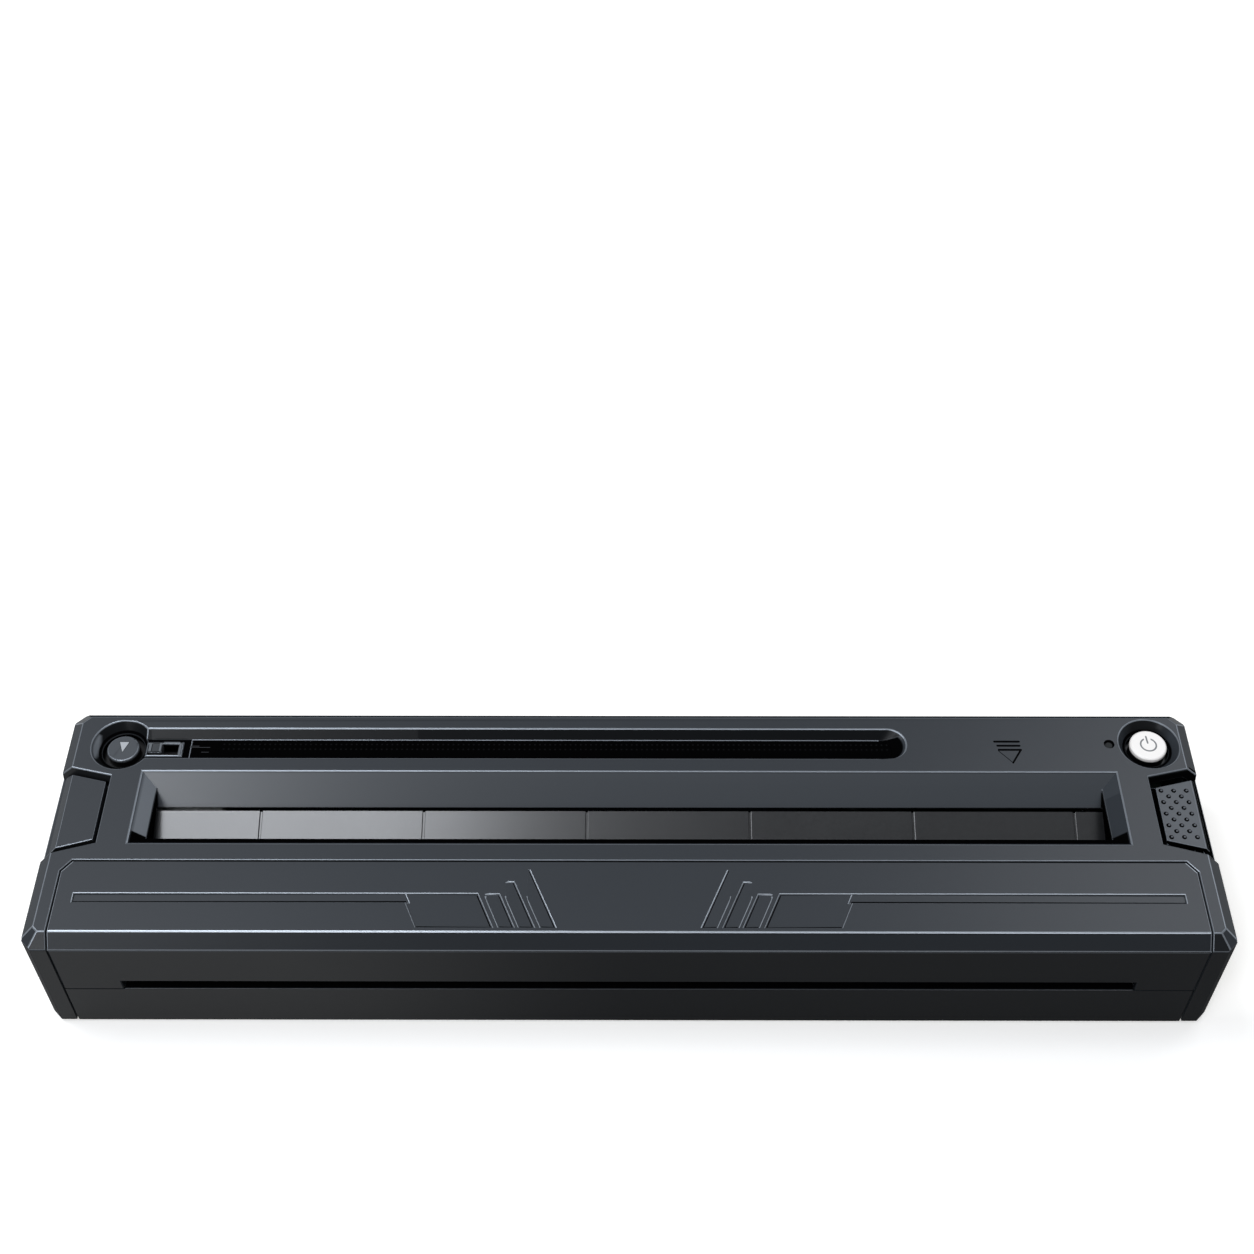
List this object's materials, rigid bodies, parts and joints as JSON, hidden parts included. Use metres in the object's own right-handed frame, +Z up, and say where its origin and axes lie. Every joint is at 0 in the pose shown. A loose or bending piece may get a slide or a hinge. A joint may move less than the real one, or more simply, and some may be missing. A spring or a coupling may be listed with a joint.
{
  "type": "thermal stencil copier",
  "caption": "Portable thermal stencil copier: a long low case with a feed opening, a front exit slot and a hinged cover that lifts the driven platen off the sprung print head",
  "frame": {"origin": "on the table under the middle of the case", "axes": "+X along the length, towards the power button; -Y towards the front with the exit slot; +Z up"},
  "size_m": [0.264, 0.064, 0.0343],
  "materials": {
    "case": "matte",
    "case_dark": "matte",
    "pad": "matte",
    "white_cap": "matte",
    "grey_cap": "matte",
    "lens": "matte",
    "rubber": "matte",
    "steel": "satin",
    "aluminium": "satin",
    "ceramic": "matte",
    "gear_white": "matte",
    "bush_brass": "matte",
    "board_black": "matte",
    "cell_wrap": "matte",
    "motor_zinc": "matte",
    "switch_black": "matte",
    "cable_tan": "matte"
  },
  "bodies": {
    "case": {"top_housing": "case", "base_tray": "case", "left_inlay": "pad", "switch_bezel": "case_dark", "vent_strip": "case_dark", "led_lens": "lens", "paper_guide": "case_dark", "rubber_feet": "rubber", "base_screws": "steel", "usb_socket": "steel", "throat_guide": "case_dark", "side_frame_left": "steel", "side_frame_right": "steel", "head_pivot_pins": "steel", "head_springs": "steel", "head_ribbon": "cable_tan", "idler_axle": "steel", "reduction_axle": "steel", "motor_body": "motor_zinc", "battery_cells": "cell_wrap", "main_board": "board_black", "board_screws": "steel", "key_board_left": "board_black", "key_board_right": "board_black", "tact_switches": "switch_black", "slide_switch_body": "switch_black", "latch_spring": "steel"},
    "cover": {"front_cover": "case", "cover_guide": "case_dark", "cover_catch": "steel", "catch_striker": "steel", "catch_rivets": "steel", "hinge_pins": "steel", "platen_bushes": "bush_brass"},
    "platen": {"platen_shaft": "steel", "platen_rubber": "rubber", "platen_gear": "gear_white"},
    "motor_rotor": {"motor_shaft": "steel", "motor_pinion": "bush_brass"},
    "idler": {"idler_gear": "gear_white"},
    "reduction": {"reduction_gear": "gear_white"},
    "head": {"print_head": "ceramic", "head_sink": "aluminium"},
    "power_key": {"power_button": "white_cap"},
    "feed_key": {"feed_button": "grey_cap"},
    "switch_slider": {"switch_knob": "grey_cap"},
    "latch": {"latch_pad": "pad", "latch_hook": "steel"}
  },
  "joints": [
    {"name": "cover_hinge", "type": "hinge", "parent": "case", "child": "cover", "pos_m": [0, -0.029, 0.018], "axis": [1, 0, 0], "range_deg": [0, 90]},
    {"name": "platen_spin", "type": "hinge", "parent": "cover", "child": "platen", "pos_m": [0, -0.01832, 0.02516], "axis": [1, 0, 0], "continuous": true},
    {"name": "idler_spin", "type": "hinge", "parent": "case", "child": "idler", "pos_m": [-0.118, -0.00997, 0.0127], "axis": [1, 0, 0], "continuous": true},
    {"name": "reduction_spin", "type": "hinge", "parent": "case", "child": "reduction", "pos_m": [-0.119, 0.00255, 0.0141], "axis": [1, 0, 0], "continuous": true},
    {"name": "motor_spin", "type": "hinge", "parent": "case", "child": "motor_rotor", "pos_m": [-0.114, 0.01568, 0.0127], "axis": [1, 0, 0], "continuous": true},
    {"name": "head_pivot", "type": "hinge", "parent": "case", "child": "head", "pos_m": [0, -0.00439, 0.01883], "axis": [1, 0, 0], "range_deg": [0, 3], "stiffness_Nm_per_rad": 1, "springref_deg": -11.46, "deforming": ["head_springs", "head_ribbon"]},
    {"name": "power_press", "type": "slide", "parent": "case", "child": "power_key", "axis": [0, 0, -1], "range_m": [0, 0.0007], "stiffness_N_per_m": 500},
    {"name": "feed_press", "type": "slide", "parent": "case", "child": "feed_key", "axis": [0, 0, -1], "range_m": [0, 0.0007], "stiffness_N_per_m": 500},
    {"name": "switch_slide", "type": "slide", "parent": "case", "child": "switch_slider", "axis": [1, 0, 0], "range_m": [0, 0.0034]},
    {"name": "latch_slide", "type": "slide", "parent": "case", "child": "latch", "axis": [0, -1, 0], "range_m": [-0.0006, 0.0022], "stiffness_N_per_m": 200, "deforming": ["latch_spring"]}
  ],
  "couplings": [
    {"joint": "idler_spin", "follows": "platen_spin", "ratio": -0.66667},
    {"joint": "reduction_spin", "follows": "platen_spin", "ratio": 1.6667},
    {"joint": "motor_spin", "follows": "platen_spin", "ratio": -5.6667}
  ]
}
